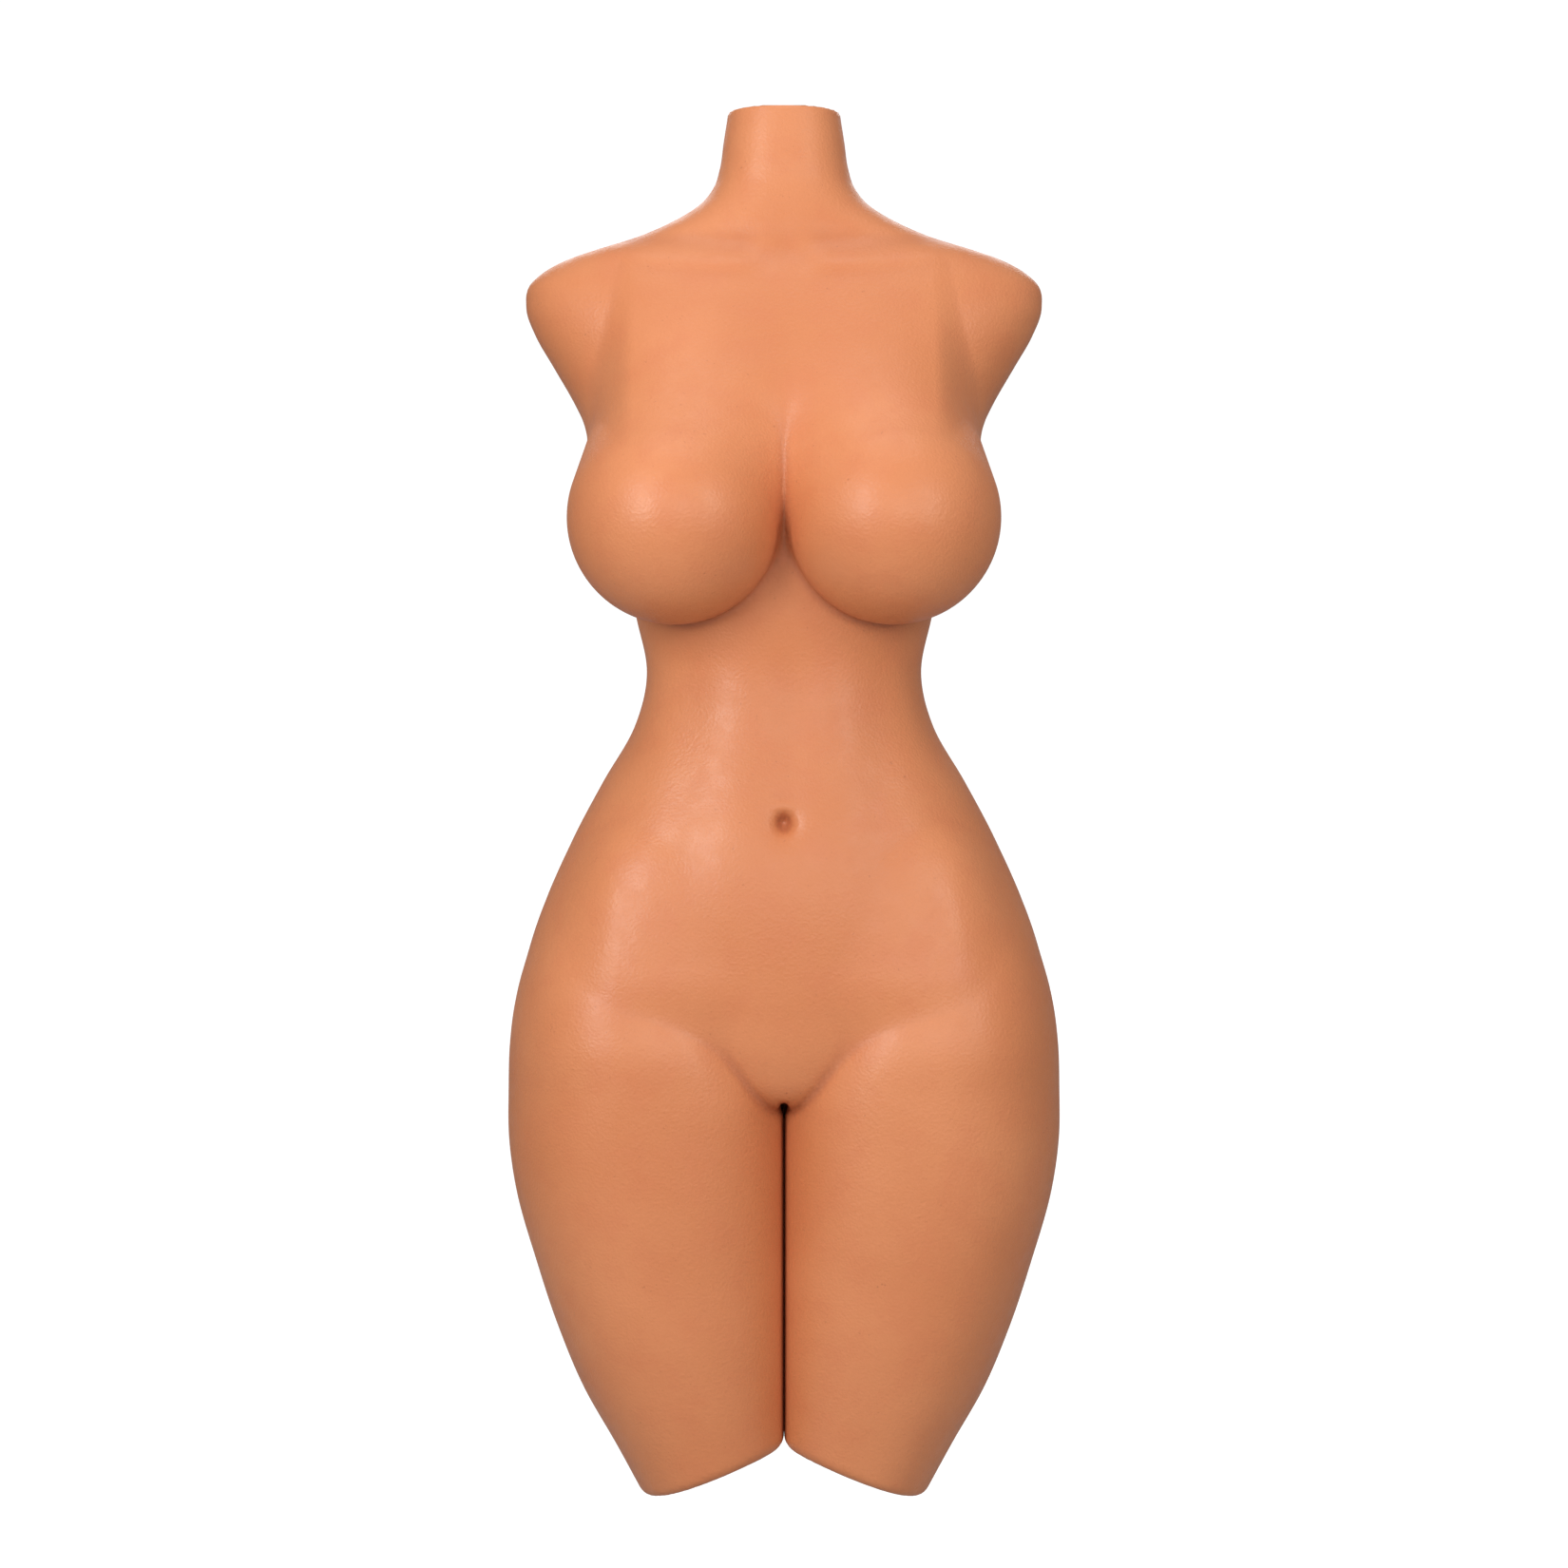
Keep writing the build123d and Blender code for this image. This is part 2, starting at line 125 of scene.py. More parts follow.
NAVEL = (0.0, -0.461)  # across and up

# Half widths between which the fillets at the hips fade out, towards the outline
HIP_FADE = (0.105, 0.150)

# ---------------------------------------------------------------- mesh settings
VOXEL = 0.003
MESH_LOW, MESH_HIGH = (-0.195, -0.165, -0.915), (0.195, 0.165, 0.012)
FIELD_LIMIT = 0.02  # distances beyond this don't matter to the mesh
SKIN = 0.006
SEAM_Z = -0.455  # where the upper skin meets the two hip skins
ON_SEAM = 1e-5

# ---------------------------------------------------------------- colours of the skin
TAN = (0.600, 0.205, 0.080, 1)
TAN_WARM = (0.650, 0.236, 0.098, 1)
TAN_ROSY = (0.590, 0.182, 0.076, 1)
TAN_FLECK = (0.270, 0.080, 0.036, 1)
# Painted shade: this darker colour is mixed in at the bottom of creases and stands in for the shade
# there
TAN_CREASE_SHADE = (0.330, 0.085, 0.038, 1)

# ---------------------------------------------------------------- stage, light and camera
VIEW_WIDTH = 1.023  # width of the picture at the object's middle plane
AIM_Z = -0.4371
LENS, SENSOR = 85.0, 36.0
WORLD_LIGHT, WORLD_SEEN = 0.36, 0.95  # the world's strength on the object, and to the camera
STAGE_GLOW = 0.80  # keeps the paper white in the picture without lighting the object
FLOOR_Z, WALL_Y, WALL_TOP, STAGE_FRONT = -1.05, 2.6, 4.0, -6.0
STAGE_BEND, STAGE_HALF, BEND_STEPS = 0.9, 5.0, 12


# ---------------------------------------------------------------- shape helpers
def through(stations, z):
    """Smooth curves through the stations' values at the heights z."""
    rows = np.array(stations)[::-1]
    knots, values = rows[:, 0], rows[:, 1:]
    steps = np.diff(knots)[:, None]
    slopes = np.diff(values, axis=0) / steps
    tangents = np.vstack([
        slopes[:1],
        (slopes[:-1] * steps[1:] + slopes[1:] * steps[:-1]) / (steps[:-1] + steps[1:]),
        slopes[-1:],
    ])
    z = np.clip(z, knots[0], knots[-1])
    i = np.clip(np.searchsorted(knots, z) - 1, 0, len(knots) - 2)
    step = steps[i]
    t = ((z - knots[i])[:, None]) / step
    value = (
        values[i] * (2 * t**3 - 3 * t**2 + 1)
        + tangents[i] * step * (t**3 - 2 * t**2 + t)
        + values[i + 1] * (3 * t**2 - 2 * t**3)
        + tangents[i + 1] * step * (t**3 - t**2)
    )
    return value.T


def join(a, b, k):
    """Union of two shapes with a fillet of about k."""
    h = np.clip(0.5 + 0.5 * (b - a) / k, 0, 1)
    return b + (a - b) * h - k * h * (1 - h)


def cut(a, b, k):
    """Where both shapes are, with the edge rounded by about k."""
    return -join(-a, -b, k)


def ease(x, low, high):
    """0 before low, 1 after high, and smooth between."""
    t = np.clip((x - low) / (high - low), 0, 1)
    return t * t * (3 - 2 * t)


def bump(distance, width):
    return np.exp(-(distance / width) ** 2)


def section(u, v, half_u, half_v, power):
    """Distance, along the ray from the middle, to a superellipse."""
    ratio = ((np.abs(u) / half_u) ** power + (np.abs(v) / half_v) ** power) ** (1 / power)
    reach = np.hypot(u, v) / np.maximum(ratio, 1e-6)
    return (ratio - 1) * np.maximum(reach, 0.004)


def ball_cone(x, y, z, low, low_r, high, high_r):
    """A ball at each end and the cone that touches both."""
    low, high = np.array(low), np.array(high)
    axis = high - low
    length2 = axis @ axis
    lean = low_r - high_r
    a2 = length2 - lean * lean
    px, py, pz = x - low[0], y - low[1], z - low[2]
    along = px * axis[0] + py * axis[1] + pz * axis[2]
    beyond = along - length2
    off2 = (
        (px * length2 - axis[0] * along) ** 2
        + (py * length2 - axis[1] * along) ** 2
        + (pz * length2 - axis[2] * along) ** 2
    )
    along2 = along * along * length2
    beyond2 = beyond * beyond * length2
    k = np.sign(lean) * lean * lean * off2
    top = np.sqrt(off2 + beyond2) / length2 - high_r
    bottom = np.sqrt(off2 + along2) / length2 - low_r
    side = (np.sqrt(off2 * a2 / length2) + along * lean) / length2 - low_r
    result = side
    result = np.where(np.sign(along) * a2 * along2 < k, bottom, result)
    return np.where(np.sign(beyond) * a2 * beyond2 > k, top, result)


def ellipsoid(x, y, z, centre, radii):
    u, v, w = (x - centre[0]) / radii[0], (y - centre[1]) / radii[1], (z - centre[2]) / radii[2]
    near = np.sqrt(u * u + v * v + w * w)
    slope = np.sqrt((u / radii[0]) ** 2 + (v / radii[1]) ** 2 + (w / radii[2]) ** 2)
    return near * (near - 1) / np.maximum(slope, 1e-6)


# ---------------------------------------------------------------- body parts
def torso_shape(x, y, z):
    half, front, back = through(TORSO, z)
    shape = section(x, y, half, np.where(y < 0, front, back), TORSO_ROUND)
    # A soft hollow above the collar bones, and the bones themselves
    side = np.abs(x)
    bone_z = -0.104 + 0.10 * (side - 0.02) * ease(side, 0.02, 0.12)
    bones = ease(side, 0.010, 0.030) * (1 - ease(side, 0.090, 0.135)) * (y < 0)
    shape -= 0.0022 * bones * bump(z - bone_z, 0.007)
    shape += 0.0018 * bones * bump(z - bone_z - 0.015, 0.009)
    # The notch at the throat, and the furrow down the breastbone
    shape += 0.0016 * bump(x, 0.016) * bump(z + 0.098, 0.012) * (y < 0)
    breastbone = ease(-z, 0.12, 0.19) * (1 - ease(-z, 0.24, 0.30)) * (y < 0)
    shape += 0.0012 * bump(x, 0.016) * breastbone
    # The furrow down the middle of the belly, and the sides of the belly
    belly = ease(-z, 0.34, 0.38) * (1 - ease(-z, 0.43, 0.50)) * (y < 0)
    shape += 0.0016 * bump(x, 0.016) * belly
    flank = ease(-z, 0.33, 0.38) * (1 - ease(-z, 0.46, 0.54)) * (y < 0)
    shape += 0.0020 * bump(side - 0.060, 0.018) * flank
    # The furrow down the spine, the shoulder blades, the loins, and the dimples over the seat
    spine = ease(-z, 0.06, 0.14) * (1 - ease(-z, 0.47, 0.52)) * (y > 0)
    shape += 0.0065 * bump(x, 0.016) * spine
    shape -= 0.0050 * bump(side - 0.075, 0.034) * bump(z + 0.175, 0.045) * (y > 0)
    loin = ease(-z, 0.22, 0.30) * (1 - ease(-z, 0.42, 0.47)) * (y > 0)
    shape -= 0.0030 * bump(side - 0.032, 0.016) * loin
    shape += 0.0035 * bump(side - 0.034, 0.011) * bump(z + 0.474, 0.011) * (y > 0)
    return shape


def thigh_shape(x, y, z):
    inner, outer, front, back = through(THIGH, z)
    middle, half = (inner + outer) / 2, np.maximum((outer - inner) / 2, 0.002)
    u = x - middle
    power = np.where(u < 0, THIGH_ROUND_IN, THIGH_ROUND_OUT)
    shape = section(u, y, half, np.where(y < 0, front, back), power)
    return cut(shape, z - THIGH_TOP_Z, 0.004)


def end_distance(side, z):
    """How far a point is past the thigh's slanted cut."""
    return (END_MID_Z - z) * math.cos(END_TILT) - side * math.sin(END_TILT)


def gap_top(y):
    """The gap between the thighs starts lower at the back than at the front."""
    return CROTCH_Z + (CROTCH_BACK_Z - CROTCH_Z) * ease(y, -0.045, 0.020)


def body(x, y, z):
    """The whole skin's outer surface."""
    side = np.abs(x)
    inside = 1 - ease(side, *HIP_FADE)
    shape = cut(torso_shape(x, y, z), CROTCH_Z - 0.004 - z, 0.020)
    fade = ease(z, -0.615, -0.555) * (1 - ease(z, -0.490, -0.440))
    shape = join(shape, thigh_shape(side, y, z), 0.004 + fade * (0.010 + 0.024 * inside))
    seat = ellipsoid(side, y, z, SEAT_CENTRE, SEAT_RADII)
    off_cleft = ease(side, 0.015, 0.060)
    shape = join(shape, seat, 0.007 + (0.005 + 0.018 * off_cleft) * ease(z, -0.65, -0.58))
    # The two sides of the bust press together low down and run into each other higher up
    bust_side = np.hypot(x, 0.0008 + 0.022 * ease(z, -0.225, -0.165))
    bust = ball_cone(bust_side, y, z, BUST_CENTRE, BUST_R, BUST_TOP, BUST_TOP_R)
    low_fold, armpit = ease(z, -0.300, -0.215), 1 - 0.75 * ease(side, 0.095, 0.125)
    shape = join(shape, bust, 0.004 + 0.060 * low_fold * armpit)
    # The navel: a small upright hollow in a shallow dish
    dx, dz = x - NAVEL[0], z - NAVEL[1]
    front_side = (y < 0)
    shape += front_side * 0.0026 * bump(dx, 0.012) * bump(dz, 0.013)
    shape += front_side * 0.0085 * bump(dx, 0.0050) * bump(dz + 0.0010, 0.0062)
    shape -= front_side * 0.0014 * bump(dx, 0.0065) * bump(dz - 0.0085, 0.0040)
    # The gap between the thighs, and the cut ends
    shape = cut(shape, -cut(side - THIGH_GAP, z - gap_top(y), 0.002), 0.004)
    shape = cut(shape, end_distance(side, z), 0.007)
    return cut(shape, z - NECK_TOP_Z, 0.002)


def slope_of(field, points, step=0.0004):
    """Gradient of the field at the points."""
    result = np.empty_like(points)
    for axis in range(3):
        ahead, behind = points.copy(), points.copy()
        ahead[:, axis] += step
        behind[:, axis] -= step
        result[:, axis] = (field(*ahead.T) - field(*behind.T)) / (2 * step)
    return result


def settle(points, level=0.0, rounds=4):
    """Move the points along the slope until they lie on the surface at that depth."""
    for _ in range(rounds):
        slope = slope_of(body, points)
        steep = np.maximum((slope**2).sum(1), 0.2)
        move = (body(*points.T) - level) / steep
        points = points - slope * np.clip(move, -VOXEL, VOXEL)[:, None]
    return points


# ---------------------------------------------------------------- skin mesh
def polygonise():
    """The body's surface as vertices and faces."""
    low = np.array(MESH_LOW)
    counts = np.ceil((np.array(MESH_HIGH) - low) / VOXEL).astype(int)
    axes = [low[i] + VOXEL * np.arange(counts[i]) for i in range(3)]
    x, y, z = (a.ravel() for a in np.meshgrid(*axes, indexing="ij"))
    values = body(x, y, z).reshape(counts)
    grid = openvdb.FloatGrid(1.0)
    grid.copyFromArray(np.clip(values, -FIELD_LIMIT, FIELD_LIMIT).astype(np.float32))
    points, triangles, quads = grid.convertToPolygons(0.0, 0.0)
    faces = [tuple(int(i) for i in f) for group in (quads, triangles) for f in group]
    return low + VOXEL * np.array(points, float), faces


def cut_mesh(points, faces):
    """The mesh with edges along the seam lines, and each face facing outwards."""
    mesh = bpy.data.meshes.new("whole")
    mesh.from_pydata([tuple(p) for p in points], [], faces)
    bm = bmesh.new()
    bm.from_mesh(mesh)
    for place, normal in (((0, 0, SEAM_Z), (0, 0, 1)), ((0, 0, 0), (1, 0, 0))):
        bmesh.ops.bisect_plane(
            bm,
            geom=bm.verts[:] + bm.edges[:] + bm.faces[:],
            dist=ON_SEAM,
            plane_co=place,
            plane_no=normal,
        )
    bmesh.ops.recalc_face_normals(bm, faces=bm.faces)
    if bm.calc_volume(signed=True) < 0:
        bmesh.ops.reverse_faces(bm, faces=bm.faces)
    bm.verts.index_update()
    points = np.array([v.co for v in bm.verts])
    faces = [tuple(v.index for v in f.verts) for f in bm.faces]
    bm.free()
    bpy.data.meshes.remove(mesh)
    return points, faces


def press_thighs(points):
    """Bring the thighs' flat inner sides together, from a little under the crotch down."""
    x, y, z = points.T
    side = np.abs(x)
    under = gap_top(y) - z
    move = THIGH_GAP * (1 - ease(side, THIGH_GAP, 0.030)) * ease(under, 0.002, 0.010)
    moved = points.copy()
    moved[:, 0] = np.sign(x) * np.maximum(side - move, 0.0)
    return moved


def crease_shade_of(points, reach=0.005):
    """Painted shade mask: 1 in the bottom of a crease, 0 on open skin."""
    total = np.zeros(len(points))
    for axis in range(3):
        for sign in (-1, 1):
            near = points.copy()
            near[:, axis] += sign * reach
            total += body(*near.T)
    hollow = -(total - 6 * body(*points.T)) / reach
    return np.clip(hollow / 1.2, 0, 1)


def skin_piece(name, points, inner, normals, crease_shades, faces, material):
    """A closed shell: the outer faces, the same faces inside, and a wall round each open edge."""
    used = sorted({i for f in faces for i in f})
    place = {old: new for new, old in enumerate(used)}
    count = len(used)
    outer_faces = [tuple(place[i] for i in f) for f in faces]
    edges = {}
    for f in outer_faces:
        for a, b in zip(f, f[1:] + f[:1]):
            if (b, a) in edges:
                del edges[(b, a)]
            else:
                edges[(a, b)] = True
    walls = [(b, a, a + count, b + count) for a, b in edges]
    inner_faces = [tuple(i + count for i in reversed(f)) for f in outer_faces]
    mesh = bpy.data.meshes.new(name)
    corners = np.vstack([points[used], inner[used]])
    mesh.from_pydata([tuple(p) for p in corners], [], outer_faces + inner_faces + walls)
    smooth = [True] * (len(outer_faces) + len(inner_faces)) + [False] * len(walls)
    mesh.polygons.foreach_set("use_smooth", smooth)
    rest = mesh.attributes.new("rest_place", "FLOAT_VECTOR", "POINT")
    rest.data.foreach_set("vector", corners.astype(np.float32).ravel())
    # Painted shade: the crease mask, carried to the material to darken the colour in creases
    crease_shade = mesh.attributes.new("crease_shade", "FLOAT", "POINT")
    crease_shade.data.foreach_set("value", np.concatenate([crease_shades[used], crease_shades[used]]).astype(np.float32))
    mesh.materials.append(material)
    mesh.validate()
    both = np.vstack([normals[used], -normals[used]])
    mesh.normals_split_custom_set_from_vertices([tuple(n) for n in both])
    piece = bpy.data.objects.new(name, mesh)
    bpy.context.collection.objects.link(piece)
    return piece


def build_skin(material):
    points, faces = cut_mesh(*polygonise())
    on_seam = np.abs(points[:, 2] - SEAM_Z) < ON_SEAM
    on_middle = np.abs(points[:, 0]) < ON_SEAM
    points = settle(points)
    points[on_seam, 2] = SEAM_Z
    points[on_middle, 0] = 0.0
    slope = slope_of(body, points)
    normals = slope / np.linalg.norm(slope, axis=1)[:, None]
    inner = settle(points - normals * SKIN, -SKIN, rounds=2)
    inner[on_seam, 2] = SEAM_Z
    inner[on_middle, 0] = 0.0
    # How deep each point sits in a crease: the mask for the painted shade in the skin's colour
    crease_shades = crease_shade_of(points)
    points = press_thighs(points)
    groups = {"upper_skin": [], "left_hip_skin": [], "right_hip_skin": []}
    for face in faces:
        middle = points[list(face)].mean(0)
        if middle[2] > SEAM_Z:
            at_top = middle[2] > NECK_TOP_Z - 0.002
            in_hole = math.hypot(middle[0], middle[1]) < SOCKET_HOLE_R
            if not (at_top and in_hole):
                groups["upper_skin"].append(face)
        elif middle[0] > 0:
            groups["left_hip_skin"].append(face)
        else:
            groups["right_hip_skin"].append(face)
    return {
        name: skin_piece(name, points, inner, normals, crease_shades, part, material)
        for name, part in groups.items()
    }


# ---------------------------------------------------------------- materials
class Nodes:
    """A short way to make a material's nodes."""

    def __init__(self, name):
        self.material = bpy.data.materials.new(name)
        self.material.use_nodes = True
        self.tree = self.material.node_tree
        self.shader = self.tree.nodes["Principled BSDF"]

    def add(self, kind, inputs=None, **settings):
        node = self.tree.nodes.new(kind)
        for key, value in settings.items():
            setattr(node, key, value)
        for key, value in (inputs or {}).items():
            self.set(node.inputs[key], value)
        return node

    def set(self, socket, value):
        if isinstance(value, bpy.types.NodeSocket):
            self.tree.links.new(value, socket)
        else:
            socket.default_value = value

    def noise(self, where, scale, detail=3.0, roughness=0.5):
        return self.add(
            "ShaderNodeTexNoise",
            {"Vector": where, "Scale": scale, "Detail": detail, "Roughness": roughness},
        ).outputs["Fac"]

    def span(self, value, low, high, to_low=0.0, to_high=1.0):
        return self.add(
            "ShaderNodeMapRange",
            {"Value": value, "From Min": low, "From Max": high, "To Min": to_low, "To Max": to_high},
            interpolation_type="SMOOTHSTEP",
        ).outputs["Result"]

    def mix(self, factor, a, b, blend="MIX"):
        node = self.add("ShaderNodeMix", data_type="RGBA", blend_type=blend)
        self.set(node.inputs["Factor"], factor)
        colours = [s for s in node.inputs if s.type == "RGBA"]
        self.set(colours[0], a)
        self.set(colours[1], b)
        return next(s for s in node.outputs if s.type == "RGBA")

    def maths(self, operation, a, b=0.0):
        node = self.add("ShaderNodeMath", operation=operation)
        self.set(node.inputs[0], a)
        self.set(node.inputs[1], b)
        return node.outputs[0]

    def relief(self, height, distance, strength, under=None):
        inputs = {"Height": height, "Distance": distance, "Strength": strength}
        if under is not None:
            inputs["Normal"] = under
        return self.add("ShaderNodeBump", inputs).outputs["Normal"]


def skin_material():
    """Satin tan elastomer with a fine pebbled grain, faint mottling, and painted shade darkening the
    colour in the creases.
    """
    n = Nodes("skin_elastomer")
    rest = n.add("ShaderNodeAttribute", attribute_name="rest_place").outputs["Vector"]
    crease_shade = n.add("ShaderNodeAttribute", attribute_name="crease_shade").outputs["Fac"]
    broad = n.span(n.noise(rest, 7.0, 2.0), 0.35, 0.65)
    blotch = n.span(n.noise(rest, 38.0, 4.0, 0.6), 0.40, 0.72)
    fleck = n.span(n.noise(rest, 420.0, 2.0, 0.5), 0.66, 0.76)
    sparse = n.span(n.noise(rest, 60.0, 1.0), 0.52, 0.66)
    colour = n.mix(broad, TAN, TAN_WARM)
    colour = n.mix(n.maths("MULTIPLY", blotch, 0.35), colour, TAN_ROSY)
    colour = n.mix(n.maths("MULTIPLY", n.maths("MULTIPLY", fleck, sparse), 0.35), colour, TAN_FLECK)
    # Painted shade: the colour turns darker at the bottom of creases
    colour = n.mix(n.maths("MULTIPLY", crease_shade, 0.55), colour, TAN_CREASE_SHADE)
    n.set(n.shader.inputs["Base Color"], colour)
    rough = n.span(n.noise(rest, 90.0, 3.0), 0.3, 0.7, 0.40, 0.50)
    n.set(n.shader.inputs["Roughness"], rough)
    grain = n.add(
        "ShaderNodeTexVoronoi", {"Vector": rest, "Scale": 620.0, "Randomness": 1.0}, feature="SMOOTH_F1"
    ).outputs["Distance"]
    soft = n.noise(rest, 260.0, 3.0, 0.6)
    normal = n.relief(n.noise(rest, 22.0, 2.0), 0.0025, 0.10)
    normal = n.relief(soft, 0.0006, 0.22, normal)
    n.set(n.shader.inputs["Normal"], n.relief(grain, 0.0005, 0.42, normal))
    n.shader.inputs["Specular IOR Level"].default_value = 0.38
    n.shader.inputs["Coat Weight"].default_value = 0.08
    n.shader.inputs["Coat Roughness"].default_value = 0.32
    return n.material


def metal_material(name, colour, dark, roughness, streaks):
    """Plated steel: fine scratches along one axis and a cloudy film."""
    n = Nodes(name)
    place = n.add("ShaderNodeTexCoord").outputs["Object"]
    stretched = n.add("ShaderNodeMapping", {"Vector": place, "Scale": streaks}).outputs["Vector"]
    lines = n.noise(stretched, 300.0, 4.0, 0.6)
    cloud = n.span(n.noise(place, 55.0, 4.0, 0.6), 0.35, 0.7)
    n.set(n.shader.inputs["Base Color"], n.mix(cloud, colour, dark))
    n.shader.inputs["Metallic"].default_value = 1.0
    n.set(n.shader.inputs["Roughness"], n.span(lines, 0.3, 0.7, roughness, roughness + 0.16))
    n.set(n.shader.inputs["Normal"], n.relief(lines, 0.0002, 0.18))
    return n.material


def coat_material():
    """Dark satin powder coat with orange peel and a few rubbed spots."""
    n = Nodes("painted_steel")
    place = n.add("ShaderNodeTexCoord").outputs["Object"]
    peel = n.noise(place, 900.0, 2.0)
    dust = n.span(n.noise(place, 40.0, 5.0, 0.65), 0.45, 0.75)
    paint = n.mix(dust, (0.030, 0.032, 0.035, 1), (0.060, 0.060, 0.062, 1))
    n.set(n.shader.inputs["Base Color"], paint)
    n.set(n.shader.inputs["Roughness"], n.span(dust, 0.0, 1.0, 0.36, 0.52))
    n.set(n.shader.inputs["Normal"], n.relief(peel, 0.0003, 0.20))
    return n.material


def lining_material():
    """Pressed friction lining: brown fibre with pale chips."""
    n = Nodes("friction_lining")
    place = n.add("ShaderNodeTexCoord").outputs["Object"]
    fibre = n.noise(place, 700.0, 4.0, 0.7)
    chips = n.span(n.noise(place, 420.0, 1.0), 0.62, 0.70)
    base = n.mix(fibre, (0.10, 0.070, 0.045, 1), (0.19, 0.140, 0.095, 1))
    chipped = n.mix(n.maths("MULTIPLY", chips, 0.6), base, (0.42, 0.33, 0.20, 1))
    n.set(n.shader.inputs["Base Color"], chipped)
    n.shader.inputs["Roughness"].default_value = 0.85
    n.set(n.shader.inputs["Normal"], n.relief(fibre, 0.0003, 0.35))
    return n.material


def finish_steel():
    """Give each CAD node that stays a material in place of its plain colour."""
    finishes = {
        "painted_steel": coat_material(),
        "plated_steel": metal_material(
            "plated_steel", (0.60, 0.61, 0.62, 1), (0.44, 0.45, 0.46, 1), 0.26, (1.0, 1.0, 0.12)
        ),
        "friction_lining": lining_material(),
    }
    slots = {part["node"]: part["material_slot"] for part in frame["record"]["subparts"]}
    for node, obj in frame["nodes"].items():
        if slots[node] in finishes:
            for holder in obj.material_slots:
                holder.material = finishes[slots[node]]
    return finishes


# ---------------------------------------------------------------- neck thread
def neck_thread(material):
    """The crests of the thread inside the neck socket."""
    mount = next(m for m in frame["record"]["mounts"] if m["name"] == "neck_socket")
    radius, depth = mount["dims"]["r_mm"] / 1000, mount["dims"]["length_mm"] / 1000
    pitch, crest, per_turn = 0.002, 0.0004, 48
    turns = (depth - 0.004) / pitch
    count = int(turns * per_turn)
    profile = ((0.00004, -0.0006), (-crest, -0.0001), (-crest, 0.0001), (0.00004, 0.0006))
    verts, faces = [], []
    for i in range(count + 1):
        turn = 2 * math.pi * i / per_turn
        z = -0.0016 - pitch * i / per_turn
        fade = min(1.0, i / per_turn, (count - i) / per_turn)
        for out, up in profile:
            r = radius + (out * fade if out < 0 else out)
            verts.append((r * math.cos(turn), r * math.sin(turn), z + up))
    size = len(profile)
    for i in range(count):
        for j in range(size):
            a, b = i * size + j, i * size + (j + 1) % size
            faces.append((a, b, b + size, a + size))
    faces.append(tuple(reversed(range(size))))
    faces.append(tuple(count * size + j for j in range(size)))
    mesh = bpy.data.meshes.new("neck_thread")
    mesh.from_pydata(verts, [], faces)
    mesh.materials.append(material)
    bm = bmesh.new()
    bm.from_mesh(mesh)
    bmesh.ops.recalc_face_normals(bm, faces=bm.faces)
    bm.to_mesh(mesh)
    bm.free()
    piece = bpy.data.objects.new("neck_thread", mesh)
    bpy.context.collection.objects.link(piece)
    return piece


# ---------------------------------------------------------------- making stage, light and camera
def stage_material():
    n = Nodes("stage_paper")
    place = n.add("ShaderNodeTexCoord").outputs["Object"]
    paper = n.mix(n.noise(place, 3.0), (0.46, 0.46, 0.46, 1), (0.50, 0.50, 0.50, 1))
    n.set(n.shader.inputs["Base Color"], paper)
    n.shader.inputs["Roughness"].default_value = 0.9
    seen = n.add("ShaderNodeLightPath").outputs["Is Camera Ray"]
    n.shader.inputs["Emission Color"].default_value = (1, 1, 1, 1)
    n.set(n.shader.inputs["Emission Strength"], n.maths("MULTIPLY", seen, STAGE_GLOW))
    return n.material


def build_stage():
    """A pale sheet that is floor under the object and wall behind it."""
    bend_y = WALL_Y - STAGE_BEND
    line = [(STAGE_FRONT, FLOOR_Z), (bend_y, FLOOR_Z)]
    for i in range(1, BEND_STEPS + 1):
        a = math.pi / 2 * i / BEND_STEPS
        line.append((bend_y + STAGE_BEND * math.sin(a), FLOOR_Z + STAGE_BEND * (1 - math.cos(a))))
    line.append((WALL_Y, WALL_TOP))
    verts = [(side * STAGE_HALF, y, z) for y, z in line for side in (-1, 1)]
    faces = [(2 * i, 2 * i + 1, 2 * i + 3, 2 * i + 2) for i in range(len(line) - 1)]
    mesh = bpy.data.meshes.new("stage")
    mesh.from_pydata(verts, [], faces)
    mesh.polygons.foreach_set("use_smooth", [True] * len(faces))
    mesh.materials.append(stage_material())
    sheet = bpy.data.objects.new("stage", mesh)
    bpy.context.collection.objects.link(sheet)


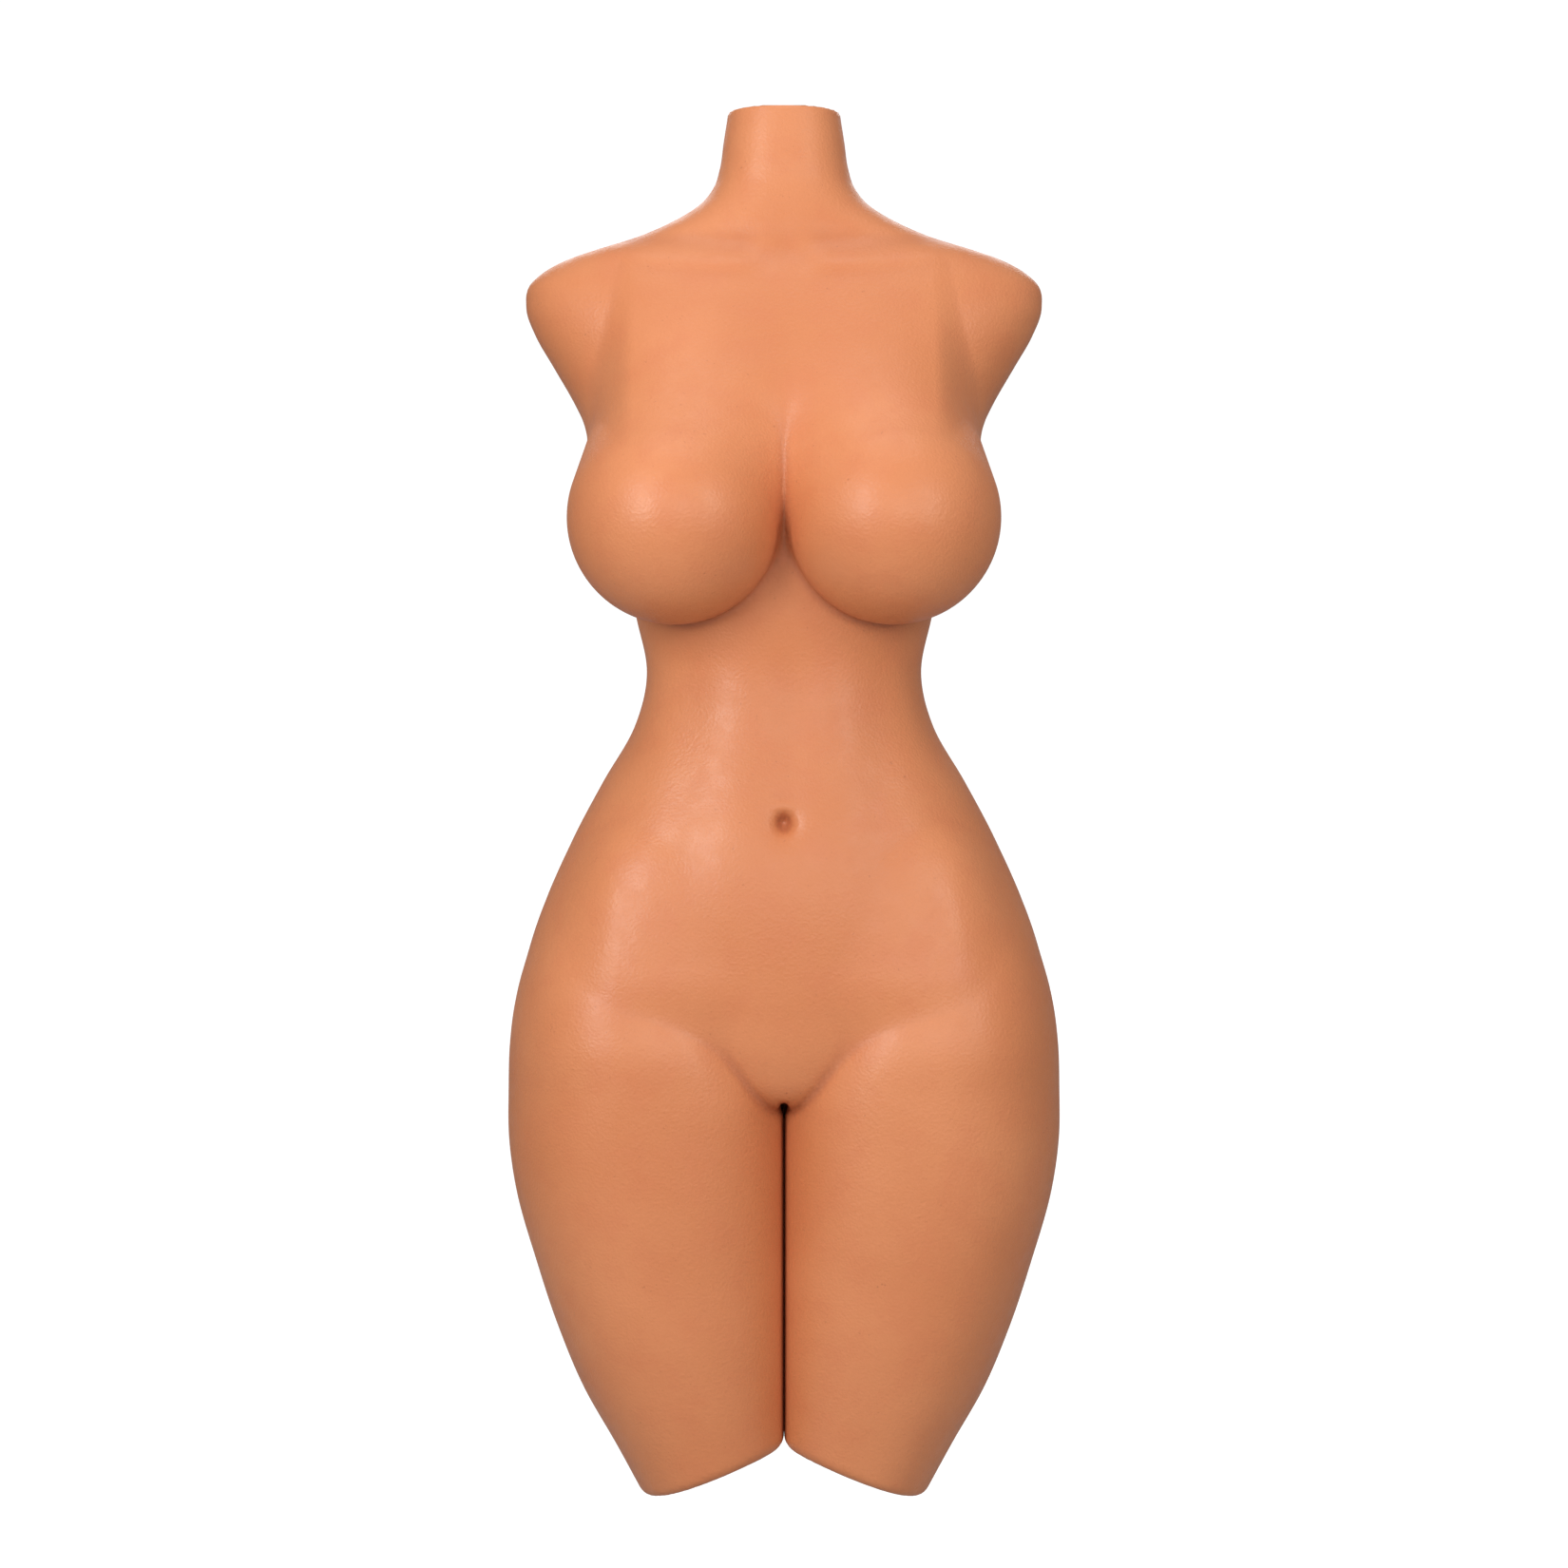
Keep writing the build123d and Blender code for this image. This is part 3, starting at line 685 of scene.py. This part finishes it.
def area_light(name, place, aim, size, power):
    data = bpy.data.lights.new(name, "AREA")
    data.shape = "RECTANGLE"
    data.size, data.size_y = size
    data.energy = power
    lamp = bpy.data.objects.new(name, data)
    lamp.location = place
    lamp.rotation_euler = (Vector(aim) - Vector(place)).to_track_quat("-Z", "Y").to_euler()
    bpy.context.collection.objects.link(lamp)


def build_light():
    chest = (0, 0, -0.25)
    area_light("key", (-0.90, -1.40, 0.12), chest, (0.38, 0.9), 16.5)
    area_light("side", (0.95, -1.35, 0.08), chest, (0.27, 0.9), 7.5)
    area_light("front", (0.22, -1.90, -0.05), chest, (0.60, 0.6), 6.0)
    area_light("top", (0.0, -0.5, 1.4), chest, (1.4, 0.8), 8)
    for x in (-0.6, 0.6):
        area_light("back", (x, 1.9, 1.0), chest, (0.8, 1.0), 6)
    world = bpy.data.worlds.new("studio")
    world.use_nodes = True
    background = world.node_tree.nodes["Background"]
    background.inputs["Color"].default_value = (1, 1, 1, 1)
    seen = world.node_tree.nodes.new("ShaderNodeLightPath").outputs["Is Camera Ray"]
    level = world.node_tree.nodes.new("ShaderNodeMapRange")
    level.inputs["To Min"].default_value = WORLD_LIGHT
    level.inputs["To Max"].default_value = WORLD_SEEN
    world.node_tree.links.new(seen, level.inputs["Value"])
    world.node_tree.links.new(level.outputs["Result"], background.inputs["Strength"])
    bpy.context.scene.world = world
    bpy.context.scene.view_settings.view_transform = "Standard"


def build_camera():
    data = bpy.data.cameras.new("camera")
    data.lens, data.sensor_width = LENS, SENSOR
    camera = bpy.data.objects.new("camera", data)
    camera.location = (0, -VIEW_WIDTH * LENS / SENSOR, AIM_Z)
    camera.rotation_euler = (math.radians(90), 0, 0)
    bpy.context.collection.objects.link(camera)
    bpy.context.scene.camera = camera


# ---------------------------------------------------------------- put it together
build_camera()
build_light()
build_stage()

steel = finish_steel()
thread = neck_thread(steel["plated_steel"])
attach(thread, "upper_torso")

skins = build_skin(skin_material())
for name, skin in skins.items():
    if name == "upper_skin":
        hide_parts("neck_skin", "upper_torso_skin", "upper_torso_foam", "pelvis_skin", "pelvis_foam")
        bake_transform(skin)
    else:
        left_or_right = name.split("_")[0]
        thigh = f"{left_or_right}_thigh"
        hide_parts(f"{thigh}_skin", f"{thigh}_foam")
        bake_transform(skin)
